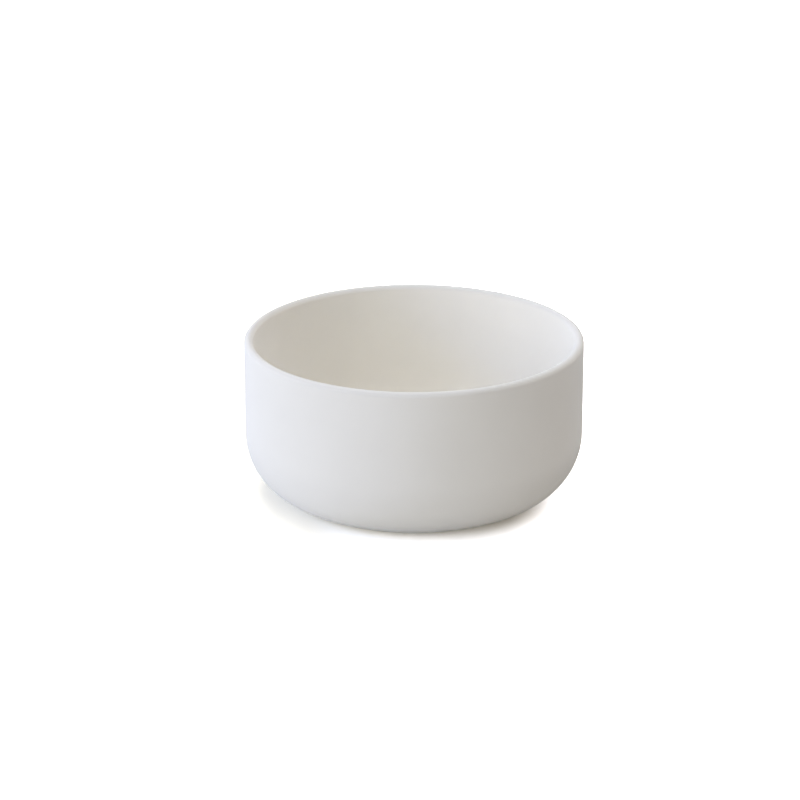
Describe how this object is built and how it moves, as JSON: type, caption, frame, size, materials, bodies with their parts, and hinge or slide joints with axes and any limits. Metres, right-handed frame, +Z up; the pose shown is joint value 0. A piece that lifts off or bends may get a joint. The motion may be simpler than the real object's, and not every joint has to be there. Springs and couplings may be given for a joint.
{
  "type": "porcelain crucible",
  "caption": "Wide, low, open round porcelain crucible with a straight wall, a broadly rounded base, a rounded lip and a matt white glaze.",
  "frame": {"origin": "on the table, at the centre of the foot ring", "axes": "+Z up along the axis of the vessel, out of its mouth; X and Y are alike, because the vessel is round"},
  "size_m": [0.1, 0.1, 0.0488],
  "materials": {
    "porcelain": "bare fired porcelain, smooth and matt",
    "glaze": "matt white glaze, silky smooth, with no sharp highlight"
  },
  "bodies": {
    "root": {"porcelain_body": "porcelain", "matt_glaze": "glaze"}
  },
  "joints": []
}
